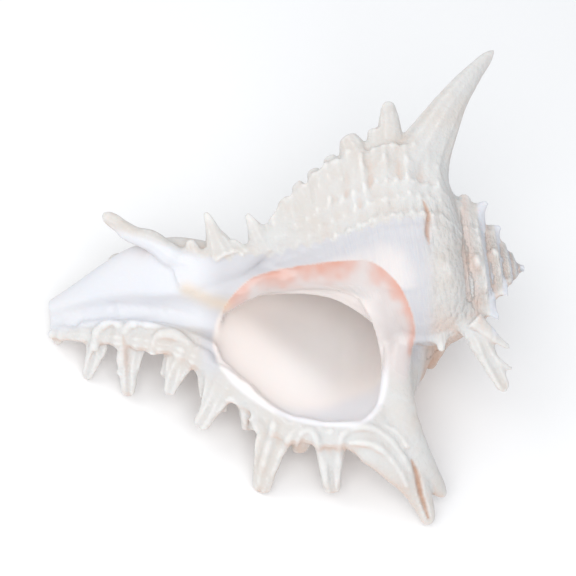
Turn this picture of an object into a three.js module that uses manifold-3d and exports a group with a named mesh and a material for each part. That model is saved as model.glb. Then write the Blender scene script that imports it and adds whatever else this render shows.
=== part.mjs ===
// A large frilled murex shell: one grown piece with a coiled body, an open mouth, a long canal and rows of spines.
// Millimetres, +Z up. The shell lies as it comes to rest on a table, mouth up and to one side, on the tips of its spines.
//
// It is built in its own shell frame and then turned into the resting frame by the group at the end.
// Shell frame: the coiling axis is X, with the apex towards +X and the canal towards -X. The mouth faces +Z and
// its outer lip hangs towards -Y. Heights h are measured from the apex along the axis, and turns run about it.

import * as THREE from "three";
import { LoftGeometry } from "three/addons/geometries/LoftGeometry.js";
import { mergeVertices } from "three/addons/utils/BufferGeometryUtils.js";
import Module from "manifold-3d";

// Driving dimensions
const APEX_X = 100; // the apex on the X axis, so that x = APEX_X - h
const GROWTH = 1.6; // how much one whorl is larger than the whorl before it
const LIP_TURN = 290; // degrees about the axis, from the way the mouth faces, where the outer lip ends
const WHORLS = 5; // whorls modelled behind the lip
const VARICES = [
  { gap: 0, swell: 1 },
  { gap: 113, swell: 1.15 },
  { gap: 226, swell: 1.3 },
]; // each whorl's three old lips: degrees behind the newest, and how strongly each flares
const VARIX_WHORL = 350; // degrees from one whorl's set of old lips to the next
const OLD_LIP_REACH = 17; // degrees over which the wall flares out before an old lip
const NEW_SIDE_DROP = 5; // degrees over which it falls away after one
const COLUMELLA_R = 5; // the pillar that the whorls wind round
const SMALLEST_STEP = 0.3; // detail finer than this is left to the finish
const REST_CUT = 1; // how much of the lowest spine tips is worn flat

// Outer wall of the last whorl at the lip: height from the apex, radius, and how far the lip flares past it.
const OUTER_WALL = [
  { h: 37, r: 29.5, flare: 3 },
  { h: 41, r: 36, flare: 8 },
  { h: 46, r: 43, flare: 14 },
  { h: 55, r: 47.5, flare: 18.5 },
  { h: 67, r: 49.5, flare: 22 },
  { h: 80, r: 48, flare: 22.5 },
  { h: 94, r: 41, flare: 26.5 },
  { h: 106, r: 32, flare: 31 },
  { h: 118, r: 22.5, flare: 31 },
  { h: 130, r: 15, flare: 28 },
  { h: 142, r: 10.5, flare: 23 },
  { h: 153, r: 7, flare: 14 },
];
// The living chamber at the lip, round from its shoulder corner along the outer lip to the canal and back along the
// pillar and the whorl before: height, radius deep inside, and how far it widens at the lip.
const CHAMBER = [
  { h: 62.5, r: 37, flare: 6 },
  { h: 66, r: 43.5, flare: 13 },
  { h: 74, r: 46.3, flare: 17.5 },
  { h: 84, r: 44.3, flare: 18.5 },
  { h: 96, r: 37, flare: 24 },
  { h: 108, r: 28, flare: 28 },
  { h: 119, r: 19.3, flare: 28.5 },
  { h: 127, r: 14, flare: 25 },
  { h: 131, r: 11, flare: 16 },
  { h: 129, r: 8.5, flare: 8 },
  { h: 123, r: 7, flare: 3 },
  { h: 112, r: 6, flare: 0 },
  { h: 96, r: 6.4, flare: 0 },
  { h: 84, r: 8.8, flare: 0 },
  { h: 76, r: 13, flare: 0 },
  { h: 69, r: 18.4, flare: 0 },
  { h: 64.5, r: 23.4, flare: 0 },
  { h: 62, r: 31, flare: 0 },
];

// Which way in the shell frame points up when the shell rests on the horn and the next long spine of its back and on
// the longest spine of its lip.
const UP_AT_REST = new THREE.Vector3(0.183, 0.5644, 0.805);

const rad = THREE.MathUtils.degToRad;
const growth = (behind) => Math.pow(GROWTH, -behind / 360);
// A point in the shell frame from height, radius and turn about the axis, where turn 0 faces +Z and 90 faces +Y.
const at = (h, r, turn) =>
  new THREE.Vector3(APEX_X - h, r * Math.sin(rad(turn)), r * Math.cos(rad(turn)));
// A point from height and its side (Y) and front (Z) distances off the axis.
const off = (h, side, front) => new THREE.Vector3(APEX_X - h, side, front);

const wasm = await Module();
wasm.setup();
const { Manifold, Mesh } = wasm;

// ---------- solids from three.js geometry ----------
function solid(geometry) {
  const bare = new THREE.BufferGeometry().setAttribute("position", geometry.attributes.position);
  const merged = mergeVertices(bare.setIndex(geometry.index), 1e-4);
  const corners = merged.index.array;
  const triVerts = [];
  for (let i = 0; i < corners.length; i += 3) {
    const [a, b, c] = corners.slice(i, i + 3);
    if (a !== b && b !== c && c !== a) triVerts.push(a, b, c);
  }
  return new Manifold(
    new Mesh({
      numProp: 3,
      vertProperties: new Float32Array(merged.attributes.position.array),
      triVerts: new Uint32Array(triVerts),
    }),
  );
}

// Which way a ring of points faces, by the right-hand rule.
function facing(ring) {
  const sum = new THREE.Vector3();
  ring.forEach((p, i) => sum.add(new THREE.Vector3().crossVectors(p, ring[(i + 1) % ring.length])));
  return sum;
}
const middle = (ring) =>
  ring.reduce((sum, p) => sum.add(p), new THREE.Vector3()).divideScalar(ring.length);

// A closed body skinned over a row of rings, each ring turned to face along the row.
function loft(rings) {
  const along = middle(rings[1]).sub(middle(rings[0]));
  const turned = facing(rings[0]).dot(along) > 0 ? rings : rings.map((ring) => [...ring].reverse());
  return solid(new LoftGeometry(turned, { capStart: true, capEnd: true }));
}
const join = (solids) => solids.reduce((all, next) => all.add(next));

// ---------- the coil ----------
const varices = [];
for (let whorl = 0; whorl < WHORLS; whorl++)
  for (const { gap, swell } of VARICES) varices.push({ behind: gap + whorl * VARIX_WHORL, swell });

// How far the wall has flared towards the nearest old lip, from 0 to 1.
function flareAt(behind) {
  let most = 0;
  for (const varix of varices) {
    const past = behind - varix.behind;
    const share =
      past >= 0 ? Math.exp(-Math.pow(past / OLD_LIP_REACH, 1.3)) : 1 + past / NEW_SIDE_DROP;
    most = Math.max(most, share * varix.swell);
  }
  return most;
}

// Sections crowd round the old lips, where the wall turns fastest.
function stationsBetween(from, to) {
  const near = [-5, 0, 6, 14, 28, 52, 80];
  const stations = [from, to];
  for (const varix of varices)
    for (const step of near) {
      const station = varix.behind + step;
      if (station > from + 1 && station < to - 1) stations.push(station);
    }
  return stations.sort((a, b) => a - b);
}

// The shoulder draws in just before the newest lip.
const TUCK_REACH = 24;
const TUCKED_H = [51, 51, 52, 56];

function wallSection(behind) {
  const scale = growth(behind);
  const flare = flareAt(behind);
  const turn = LIP_TURN - behind;
  const tuck = Math.exp(-Math.pow(behind / TUCK_REACH, 2));
  const heights = OUTER_WALL.map((p, i) => THREE.MathUtils.lerp(p.h, TUCKED_H[i] ?? p.h, tuck));
  const outer = OUTER_WALL.map((p, i) =>
    at(heights[i] * scale, (p.r + p.flare * flare) * scale, turn),
  );
  return [
    at(heights[0] * scale, 1.5 * scale, turn),
    ...outer,
    at(heights.at(-1) * scale, 1.5 * scale, turn),
  ];
}

const CHAMBER_FROM = -42; // the opening in front of the lip, in degrees behind it
function chamberSection(behind) {
  const scale = growth(Math.max(behind, 0));
  const open = behind < 0 ? 1 : Math.exp(-Math.pow(behind / (OLD_LIP_REACH * 0.9), 1.3));
  const ahead = Math.max(-behind, 0);
  return CHAMBER.map((p) => {
    const widen = p.flare > 0 ? 0.12 * ahead : 0.0045 * ahead * p.r;
    return at(p.h * scale, (p.r + p.flare * open + widen) * scale, LIP_TURN - behind);
  });
}

// One whorl is made in arcs of under a turn, because a longer one would run into itself.
function coil(section, from, to, arc) {
  const parts = [];
  for (let start = from; start < to; start += arc) {
    const end = Math.min(start + arc + 1.5, to);
    parts.push(loft(stationsBetween(start, end).map(section)));
  }
  return parts;
}

// ---------- spines ----------
// A spine follows a curve from its root, past a bend, to its tip. It is a half-open gutter, hollow towards `open`.
function spine({ root, bend, tip, wide, end, thick = 0.75, open, sides = 8, steps = 3 }) {
  const path = new THREE.QuadraticBezierCurve3(root, bend, tip);
  const sections = [];
  for (let i = 0; i <= steps; i++) {
    const along = i / steps;
    const centre = path.getPoint(along);
    const ahead = path.getTangent(along);
    const across = new THREE.Vector3().crossVectors(ahead, open).normalize();
    const front = new THREE.Vector3().crossVectors(across, ahead).normalize();
    const half = THREE.MathUtils.lerp(wide, end, Math.pow(along, 0.8)) * (i === steps ? 0.6 : 1);
    const ring = [];
    for (let j = 0; j < sides; j++) {
      const angle = (j / sides) * 2 * Math.PI;
      const gutter = j === sides / 4 ? 0.35 : 1;
      ring.push(
        centre
          .clone()
          .addScaledVector(across, half * Math.cos(angle))
          .addScaledVector(front, half * thick * Math.sin(angle) * gutter),
      );
    }
    sections.push(ring);
  }
  return loft(sections);
}

// Spines of the outer lip, from the shoulder down to the canal, in the shell frame.
const FRONT = new THREE.Vector3(0, 0.35, 0.94);
const lipSpines = [
  { root: off(63, -50, 12), bend: off(55, -78, 18), tip: off(46, -105, 10), wide: 16, end: 3.4, thick: 0.5, steps: 5 },
  { root: off(53, -52, 12), bend: off(50, -72, 12), tip: off(38.5, -93, 5), wide: 7, end: 2.4 },
  { root: off(85, -55, 14), bend: off(84, -74, 17), tip: off(85, -89, 9), wide: 6.5, end: 2.6 },
  { root: off(98, -54, 12), bend: off(99, -66, 12), tip: off(99, -71, 6), wide: 5, end: 2 },
  { root: off(108, -51, 14), bend: off(113, -72, 17), tip: off(116, -88, 9), wide: 7, end: 3 },
  { root: off(118, -42, 12), bend: off(120, -52, 14), tip: off(120, -61, 9), wide: 4.5, end: 2 },
  { root: off(129, -36, 10), bend: off(134, -46, 14), tip: off(141, -59, 10), wide: 5, end: 2.6 },
  { root: off(142, -26, 6), bend: off(147, -34, 8), tip: off(152, -46, 4), wide: 6, end: 2 },
  { root: off(166, -13, 1), bend: off(166, -28, 6), tip: off(170, -46, -4), wide: 5.6, end: 2.4 },
  { root: off(183, -12, -4), bend: off(182, -25, 1), tip: off(188, -38, -8), wide: 4.6, end: 1.8 },
  { root: off(163, -14, 3), bend: off(153, -24, 6), tip: off(142, -25, 6), wide: 7, end: 5 },
  { root: off(198, -12, -10), bend: off(198, -17, -9), tip: off(200, -22, -13), wide: 2.6, end: 1.2 },
];

// Spines of the old lip above the mouth. The first is the great shoulder horn.
const BACK = new THREE.Vector3(0, 0.6, -0.8);
const topSpines = [
  { root: off(48, 34, 14), bend: off(38, 64, 23), tip: off(10, 91.5, 12), wide: 18, end: 1.8, steps: 6 },
  { root: off(56, 44, 20), bend: off(56, 60, 23), tip: off(55, 72, 20), wide: 8, end: 2 },
  { root: off(68, 42, 20), bend: off(71, 53, 22), tip: off(73.5, 58.5, 21), wide: 8, end: 3.4 },
  { root: off(76, 38, 19), bend: off(79, 46, 21), tip: off(81.5, 50.5, 20), wide: 6.5, end: 2.4 },
  { root: off(83, 34, 17), bend: off(86, 41, 19), tip: off(88.5, 45.5, 18), wide: 6, end: 2.2 },
  { root: off(90, 30, 14), bend: off(93, 36, 17), tip: off(95.5, 40, 16), wide: 6, end: 2.2 },
  { root: off(96, 24, 12), bend: off(99, 30, 15), tip: off(101, 34, 14), wide: 6, end: 2.2 },
  { root: off(112, 12, 9), bend: off(113, 20, 13), tip: off(116, 28, 13), wide: 9, end: 1.2 },
  { root: off(127, 6, 6), bend: off(129, 17, 11), tip: off(134, 29, 12), wide: 12, end: 1.2 },
];

// The one big spine of the old lip just in front of the mouth, with its side branch.
const frontSpines = [
  { root: off(33, -10, 12), bend: off(25, -30, 21), tip: off(12, -51, 14), wide: 9, end: 2.6 },
  { root: off(22, -30, 18), bend: off(15, -36, 18), tip: off(9, -42, 15), wide: 3.6, end: 1 },
  { root: off(40, -24, 14), bend: off(37, -31, 18), tip: off(35, -35, 18), wide: 3.4, end: 1.4 },
];

// Spines of a whole old lip elsewhere on the coil, given at the size of the last whorl.
const LIP_ROW = [
  { h: 47, r: 50, length: 44, wide: 9.5, end: 2, lean: 14 },
  { h: 62, r: 62, length: 16, wide: 6, end: 2.4, lean: 3 },
  { h: 76, r: 62, length: 20, wide: 6, end: 2.4, lean: 0 },
  { h: 92, r: 60, length: 14, wide: 5.5, end: 2.2, lean: -3 },
  { h: 106, r: 54, length: 20, wide: 6.5, end: 2.4, lean: -6 },
  { h: 120, r: 46, length: 14, wide: 5.5, end: 2.2, lean: -6 },
  { h: 134, r: 34, length: 16, wide: 6, end: 2.2, lean: -8 },
];
function lipRow(behind, row, lengthen = 1) {
  const scale = growth(behind);
  const turn = LIP_TURN - behind;
  const open = at(APEX_X, 1, turn + 90);
  return row.map((s) =>
    spine({
      root: at(s.h * scale, (s.r - 8) * scale, turn - 3),
      bend: at((s.h - 0.4 * s.lean) * scale, (s.r + 0.5 * s.length * lengthen) * scale, turn),
      tip: at((s.h - s.lean) * scale, (s.r + s.length * lengthen) * scale, turn - 5),
      wide: s.wide * scale,
      end: s.end * scale,
      open,
      sides: 8,
      steps: scale > 0.5 ? 4 : 3,
    }),
  );
}

// A blunt knob on the shoulder half-way between two old lips.
const KNOBS = [56, 169, 288, 405, 518, 640, 755, 868];
function knob(behind) {
  const scale = growth(behind);
  const turn = LIP_TURN - behind;
  return spine({
    root: at(53 * scale, 38 * scale, turn),
    bend: at(48 * scale, 50 * scale, turn),
    tip: at(44 * scale, 57 * scale, turn),
    wide: 10 * scale,
    end: 2.4 * scale,
    thick: 0.8,
    open: at(APEX_X, 1, turn + 90),
    sides: 6,
    steps: 3,
  });
}

// ---------- canal ----------
const CANAL = [
  { h: 112, side: 0, front: 2, wide: 12, deep: 9 },
  { h: 126, side: 0, front: 2, wide: 16, deep: 9 },
  { h: 146, side: 0.5, front: 1, wide: 20, deep: 8 },
  { h: 158, side: 0.5, front: 0, wide: 18.5, deep: 7.2 },
  { h: 168, side: 0, front: -2, wide: 16.5, deep: 6.5 },
  { h: 180, side: -2.5, front: -5, wide: 12.5, deep: 5.6 },
  { h: 191, side: -6.5, front: -8.5, wide: 9.6, deep: 4.8 },
  { h: 203, side: -10.5, front: -13, wide: 6.6, deep: 3.4 },
];
function oval(centre, across, up, wide, deep, sides) {
  const ring = [];
  for (let j = 0; j < sides; j++) {
    const angle = (j / sides) * 2 * Math.PI;
    ring.push(
      centre
        .clone()
        .addScaledVector(across, wide * Math.cos(angle))
        .addScaledVector(up, deep * Math.sin(angle)),
    );
  }
  return ring;
}
const ACROSS = new THREE.Vector3(0, 1, 0);
const UP = new THREE.Vector3(0, 0, 1);
const canal = loft(CANAL.map((c) => oval(off(c.h, c.side, c.front), ACROSS, UP, c.wide, c.deep, 14)));

const GROOVE = [
  { h: 120, side: -17, front: 12, wide: 9, deep: 9 },
  { h: 134, side: -15, front: 9, wide: 6, deep: 6.5 },
  { h: 148, side: -11.5, front: 6.5, wide: 4.2, deep: 5 },
  { h: 166, side: -9, front: 3, wide: 3.4, deep: 4.6 },
  { h: 186, side: -9.5, front: -4, wide: 3, deep: 3.6 },
  { h: 206, side: -12, front: -12.5, wide: 2.6, deep: 2.8 },
];
const groove = loft(GROOVE.map((c) => oval(off(c.h, c.side, c.front), ACROSS, UP, c.wide, c.deep, 8)));

// Ends of earlier canals, left standing as blunt troughs beside the living one.
const OLD_CANALS = [
  { root: off(137, 8, 4), bend: off(160, 15, 9), tip: off(176, 31, 5), wide: 10, end: 6, open: BACK },
  { root: off(140, 4, -6), bend: off(158, 8, -18), tip: off(178, 10, -30), wide: 10, end: 5.4, open: UP },
];

// ---------- assembly ----------
const spindle = new THREE.LatheGeometry(
  [
    new THREE.Vector2(0, 0.6),
    new THREE.Vector2(1.6, 1.6),
    new THREE.Vector2(3, 12),
    new THREE.Vector2(COLUMELLA_R, 60),
    new THREE.Vector2(COLUMELLA_R, 92),
    new THREE.Vector2(COLUMELLA_R + 0.6, 110),
    new THREE.Vector2(10, 122),
    new THREE.Vector2(8, 140),
    new THREE.Vector2(0, 150),
  ],
  12,
).rotateZ(Math.PI / 2).translate(APEX_X, 0, 0);

const LAST = 360 * WHORLS;
const wall = join([...coil(wallSection, 0, 720, 120), ...coil(wallSection, 720, LAST, 180)]);
const chamber = join([...coil(chamberSection, CHAMBER_FROM, 480, 130)]);

const spines = [
  ...lipSpines.map((s) => spine({ open: FRONT, ...s })),
  ...topSpines.map((s) => spine({ open: BACK, ...s })),
  ...lipRow(113, LIP_ROW),
  ...frontSpines.map((s) => spine({ open: FRONT, ...s })),
  ...lipRow(463, LIP_ROW.slice(0, 1), 0.6),
  ...lipRow(576, LIP_ROW.slice(0, 1), 0.55),
  ...lipRow(700, LIP_ROW.slice(0, 1), 0.5),
  ...KNOBS.map(knob),
  ...OLD_CANALS.map((s) => spine(s)),
];

const grown = join([wall, solid(spindle)])
  .subtract(chamber)
  .add(join([canal, ...spines]).subtract(chamber))
  .subtract(groove);
// Spaces shut in between the whorls are filled, so the largest skin is the whole shell.
const shell = grown
  .simplify(SMALLEST_STEP)
  .decompose()
  .reduce((most, next) => (next.volume() > most.volume() ? next : most));

// ---------- at rest ----------
// The shell is turned so that the way which points up at rest is +Z, and the side the mouth faces is -Y.
const up = UP_AT_REST.clone().normalize();
const rear = UP.clone().addScaledVector(up, -UP.dot(up)).normalize().negate();
const side = new THREE.Vector3().crossVectors(rear, up);
const stood = shell.transform(new THREE.Matrix4().makeBasis(side, rear, up).invert().elements);
// The lowest tips are worn to small flats, and the origin is on the ground at the middle of the shell.
const ground = stood.boundingBox().min[2] + REST_CUT;
const worn = stood.trimByPlane([0, 0, 1], ground);
const { min, max } = worn.boundingBox();
const placed = worn.translate([-(min[0] + max[0]) / 2, -(min[1] + max[1]) / 2, -ground]);

const { vertProperties, triVerts } = placed.getMesh();
const geometry = new THREE.BufferGeometry();
geometry.setAttribute("position", new THREE.BufferAttribute(vertProperties, 3));
geometry.setIndex(new THREE.BufferAttribute(triVerts, 1));
geometry.computeVertexNormals();

const chalkWhite = new THREE.MeshStandardMaterial({ color: 0xf3efea, roughness: 0.55, metalness: 0 });
const body = new THREE.Mesh(geometry, chalkWhite);
body.name = "shell";

const part = new THREE.Group();
part.add(body);

export default part;
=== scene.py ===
import math

import bpy
import numpy as np
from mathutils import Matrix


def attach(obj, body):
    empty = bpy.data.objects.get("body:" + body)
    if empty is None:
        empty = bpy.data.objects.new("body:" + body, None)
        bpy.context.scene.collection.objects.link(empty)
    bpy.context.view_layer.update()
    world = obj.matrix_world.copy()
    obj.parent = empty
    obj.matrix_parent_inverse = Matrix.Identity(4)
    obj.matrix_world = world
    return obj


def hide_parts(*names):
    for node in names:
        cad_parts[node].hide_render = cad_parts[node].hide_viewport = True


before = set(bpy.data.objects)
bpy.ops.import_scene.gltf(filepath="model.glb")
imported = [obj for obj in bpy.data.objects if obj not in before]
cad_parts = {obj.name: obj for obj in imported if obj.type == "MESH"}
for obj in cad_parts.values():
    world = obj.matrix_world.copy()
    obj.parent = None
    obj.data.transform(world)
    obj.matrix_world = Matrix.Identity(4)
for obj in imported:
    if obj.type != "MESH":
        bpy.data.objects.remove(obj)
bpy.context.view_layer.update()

import openvdb
from mathutils import Matrix, Vector

# ---- The coil ----
# The body of a branched murex: a tube of shell that grows by three fifths at each turn as it winds to the right.
# At each old stop in growth it had flared out into a thick lip, and the next stretch grew on from behind that lip.
# It is swept in the shell's own frame, in millimetres: x runs to the apex, z to the side that the mouth faces.

APEX = 100.0  # where the apex lies on x, and every height is measured down from it
WHORL_GROWTH = 1.6
LIP_TURN = 290.0  # where the newest lip stands round the axis, in degrees
WHORLS = 5.2
CORE = 1.5  # the coil closes this far from its axis
CLOSE_STEP, WIDE_STEP = 0.6, 1.4  # degrees from ring to ring, by an old lip and elsewhere
FLARE_FADES, FLARE_BUILDS = 17, 5  # degrees that a lip's flare takes to sink behind it, and to rise before it
OLD_LIPS = [  # degrees behind the newest lip, and how strongly each flares
    (0, 0.95), (113, 1.15), (226, 1.3), (350, 0.12), (463, 1.25), (576, 1.2), (700, 0.9), (813, 1.1), (926, 1.1),
    (1050, 1.0), (1163, 1.0), (1276, 1.0), (1400, 1.0), (1513, 1.0), (1626, 1.0),
]
# degrees behind the newest lip, and how high each knob on the shoulder stands
KNOBS = [(56, 0.6), (169, 1.0), (288, 0.45), (405, 1.0), (518, 1.3), (640, 1.5), (755, 1.5), (868, 1.5), (980, 1.5)]
KNOB_AT, KNOB_RISE, KNOB_LONG, KNOB_HIGH = 50, 9, 9, 6  # height down the whorl, rise, and spread along and down it
# degrees behind each lip, and how high the overlapped edges stand
FRILLS = [(0, 1.0), (6, 0.8), (12, 1.1), (18, 0.9), (26, 1.3), (34, 0.7)]
FRILL_RISE = 1.9
CORDS = [  # height down the whorl, and how strong
    (43, 0.5), (49.5, 1.0), (56, 0.6), (61.5, 0.5), (67, 0.95), (73.5, 0.5), (79, 0.7), (85, 1.0), (91, 0.55),
    (98, 0.8), (104, 0.5), (111, 1.0), (118, 0.8), (124.5, 0.5), (131, 0.95), (137, 0.5), (143, 0.8), (150, 0.5),
]

# height down the axis, radius, and how far an old lip flares past it, all at the size of the newest whorl
OUTER = np.array([
    (36.5, 24, 1), (37.5, 29.5, 3), (41, 36, 8), (46, 43, 14), (55, 47.5, 18.5), (67, 49.5, 22), (80, 48, 22.5),
    (94, 41, 26.5), (106, 32, 31), (118, 22.5, 31), (130, 15, 28), (142, 10.5, 23), (153, 7, 14),
])
# the keel that stands round the shoulder of the old whorls: where it starts behind the lip, its height and its rise
KEEL_FROM, KEEL_AT, KEEL_RISE = 370, 43.5, 6.0
LATTICE = 32
lattice = np.random.default_rng(7).random((LATTICE, LATTICE, LATTICE))


def noise(points, grain):
    """Smooth random swells from -1 to 1, about one grain across."""
    at = np.asarray(points) / grain
    cell = np.floor(at).astype(int)
    u = at - cell
    u = u * u * (3 - 2 * u)
    total = 0
    for corner in np.ndindex(2, 2, 2):
        i, j, k = ((cell[..., n] + corner[n]) % LATTICE for n in range(3))
        share = np.prod([u[..., n] if corner[n] else 1 - u[..., n] for n in range(3)], axis=0)
        total = total + share * lattice[i, j, k]
    return 2 * total - 1


def scale_at(behind):
    """The size of the coil this many degrees behind the newest lip, against its size there."""
    return WHORL_GROWTH ** (-np.asarray(behind, float) / 360)


def curve_through(points, count, closed=False):
    """Points spread evenly by number along a Catmull-Rom curve through the given ones."""
    points = np.asarray(points, float)
    if closed:
        padded = np.vstack([points[-1], points, points[0], points[1]])
        spans = len(points)
    else:
        padded = np.vstack([2 * points[0] - points[1], points, 2 * points[-1] - points[-2]])
        spans = len(points) - 1
    at = np.linspace(0, spans, count, endpoint=not closed)
    span = np.minimum(at.astype(int), spans - 1)
    u = (at - span)[:, None]
    a, b, c, d = (padded[span + k] for k in range(4))
    return 0.5 * (2 * b + (c - a) * u + (2 * a - 5 * b + 4 * c - d) * u**2 + (3 * b - a - 3 * c + d) * u**3)


def swept(rings):
    """A closed skin over rows of rings: its points and triangles."""
    rows, around = rings.shape[:2]
    caps = np.array([rings[0].mean(0), rings[-1].mean(0)])
    points = np.vstack([rings.reshape(-1, 3), caps])
    row, col = np.meshgrid(np.arange(rows - 1), np.arange(around), indexing="ij")
    a = (row * around + col).ravel()
    b = (row * around + (col + 1) % around).ravel()
    faces = [np.column_stack([a, b, b + around]), np.column_stack([a, b + around, a + around])]
    ring = np.arange(around)
    ahead = (ring + 1) % around
    last = (rows - 1) * around
    faces.append(np.column_stack([np.full(around, rows * around), ahead, ring]))
    faces.append(np.column_stack([np.full(around, rows * around + 1), last + ring, last + ahead]))
    return points, np.vstack(faces)


def hump(away, width):
    """One in the middle, and fading to nothing on both sides."""
    return np.exp(-((away / width) ** 2))


def cords(height):
    """Ridges that run along the coil, strong and weak by turns."""
    return sum(strong * hump(height - at, 1.8) for at, strong in CORDS)


def flare_at(behind):
    """How far the coil is flared: it rises quickly to each old lip and sinks slowly behind it."""
    most = np.zeros_like(behind)
    for lip, swell in OLD_LIPS:
        past = behind - lip
        older = np.exp(-np.clip(past / FLARE_FADES, 0, None) ** 1.3)
        newer = np.clip(1 + past / FLARE_BUILDS, 0, 1)
        most = np.maximum(most, swell * np.where(past >= 0, older, newer))
    return most


def frills_at(behind, ridges):
    """Edges of old growth that overlap like shingles behind each lip, scalloped by the cords."""
    most = 0
    for lip, swell in OLD_LIPS:
        for back, high in FRILLS:
            past = behind - lip - back + 2.2 * ridges
            most = np.maximum(most, high * swell * np.where(past >= 0, np.exp(-np.clip(past, 0, 60) / 4.5), 0))
    return most


def turn_steps():
    """Degrees behind the lip, close together at the old lips and wider apart up the spire."""
    steps, at = [], 0.0
    while at < 360 * WHORLS:
        steps.append(at)
        past = min((at - lip for lip, _ in OLD_LIPS), key=abs)
        at += (CLOSE_STEP if -8 < past < 34 else WIDE_STEP) * (1 + at / 500)
    return np.array(steps)


def from_axis(height, radius, turn):
    """Places given by height down the axis, distance from it and degrees round it."""
    angle = np.radians(turn)
    return np.stack(np.broadcast_arrays(APEX - height, radius * np.sin(angle), radius * np.cos(angle)), -1)


behind = turn_steps()[:, None]
profile = curve_through(OUTER, 170)
height, radius, flare = (profile[None, :, k] for k in range(3))
size = scale_at(behind)
flared = flare_at(behind)
# by the newest lip the shoulder is tucked down towards the mouth
tucked = np.interp(height, [37, 41, 46, 55, 60], [51, 51.5, 52, 56, 60])
tuck = np.where(height < 60, hump(behind, 24), 0)
height_now = height + (tucked - height) * tuck
ridges = cords(height)
rough = np.clip(flared, 0, 1)
smooth_way = from_axis(height_now * size, radius * size, LIP_TURN - behind)
lumps = noise(smooth_way / size[..., None], 7.0)
beads = noise(np.stack(np.broadcast_arrays(height * 0.5, behind * 0.55, 0 * height), -1), 2.2)
lift = flare * flared * (1 + 0.07 * (ridges - 0.4) + 0.06 * lumps)
lift = lift + (0.14 + 0.8 * rough) * ridges * (0.6 + 1.1 * np.clip(beads, -0.5, 1) * rough)
scales = noise(np.stack(np.broadcast_arrays(height, behind * 0.5, 0 * height), -1), 3.4)
lift = lift + FRILL_RISE * frills_at(behind, ridges) + (1.3 * lumps + 2.4 * scales) * (0.08 + rough)
for spot, tall in KNOBS:
    lift = lift + KNOB_RISE * tall * hump(behind - spot, KNOB_LONG) * hump(height - KNOB_AT, KNOB_HIGH)
keel = np.clip((behind - KEEL_FROM) / 40, 0, 1)
lift = np.maximum(lift, -0.4) + KEEL_RISE * keel * hump(height - KEEL_AT, 3.4) * (1 + 0.45 * lumps)
rings = from_axis(height_now * size, (radius + lift) * size, LIP_TURN - behind)
ends = from_axis(np.hstack([height_now[:, -1:], height_now[:, :1]]) * size, CORE * size, LIP_TURN - behind)
coil = swept(np.concatenate([ends[:, 1:], rings, ends[:, :1]], axis=1))

# ---- The chamber ----
# The hollow that the animal lived in. It follows the coil inside, and at the lip it opens out into the wide mouth.
# It is a second sweep round the same axis, which is cut out of the walls when the skin is made.

CHAMBER = np.array([  # height, radius, and how far the mouth opens past it at the lip
    (62.5, 37, 6), (66, 43.5, 13), (74, 46.3, 18.5), (84, 44.3, 20), (96, 37, 25.5), (108, 28, 29.5), (119, 19.3, 30),
    (127, 14, 26), (131, 11, 16), (129, 8.5, 8), (123, 7, 3), (112, 6, 0), (96, 6.4, 0), (84, 8.8, 0), (76, 13, 0),
    (69, 18.4, 0), (64.5, 23.4, 0), (62, 31, 0),
])
PAST_LIP, CHAMBER_END = -44, 300  # degrees behind the lip: it is cut on past the mouth, and goes back this far
behind = np.concatenate([np.arange(PAST_LIP, 30, 2.0), np.arange(30, CHAMBER_END, 4.0)])[:, None]
profile = curve_through(CHAMBER, 90, closed=True)
height, radius, flare = (profile[None, :, k] for k in range(3))
flare = np.clip(flare, 0, None)
size = scale_at(np.maximum(behind, 0))
opened = np.where(behind < 0, 1, np.exp(-np.clip(behind / 15, 0, None) ** 1.3))
ahead = np.maximum(-behind, 0)
widen = np.where(flare > 0.3, 0.12 * ahead, 0.0045 * ahead * radius)
rings = from_axis(height * size, (radius + flare * opened + widen) * size, LIP_TURN - behind)
chamber = swept(rings)
behind_the_lip = swept(rings[behind[:, 0] > -3])

# ---- The spines ----
# Each old lip carries a row of spines that grew as folds of the lip, so each is a gutter, open towards the mouth.
# The living lip's spines, the great shoulder horn and the stumps of old canals are placed one by one.

FRONT = (0, 0.35, 0.94)
BACK = (0, 0.6, -0.8)
SPINE_ROWS = 30
RIB_PAIRS = 5  # ribs round a spine, on each half of it
spines, gutters = [], []


def unit(v):
    return v / np.linalg.norm(v, axis=-1, keepdims=True)


def across_and_front(path, face):
    """Which way is sideways at each point of a path, and which way its front looks."""
    ahead = unit(np.gradient(path, axis=0))
    across = unit(np.cross(ahead, face))
    return across, np.cross(across, ahead)


def along_path(path, wide, deep, face, around=26, ribs=0.0):
    """A closed tube of oval section along a path, its flat side turned to face."""
    across, front = across_and_front(path, face)
    angle = np.linspace(0, 2 * np.pi, around, endpoint=False)[None, :]
    bulge = 1 + ribs * np.cos(angle * 2 * RIB_PAIRS)
    side = np.reshape(wide, (-1, 1)) * np.cos(angle) * bulge
    rise = np.reshape(deep, (-1, 1)) * np.sin(angle) * bulge
    return swept(path[:, None] + side[..., None] * across[:, None] + rise[..., None] * front[:, None])


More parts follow.
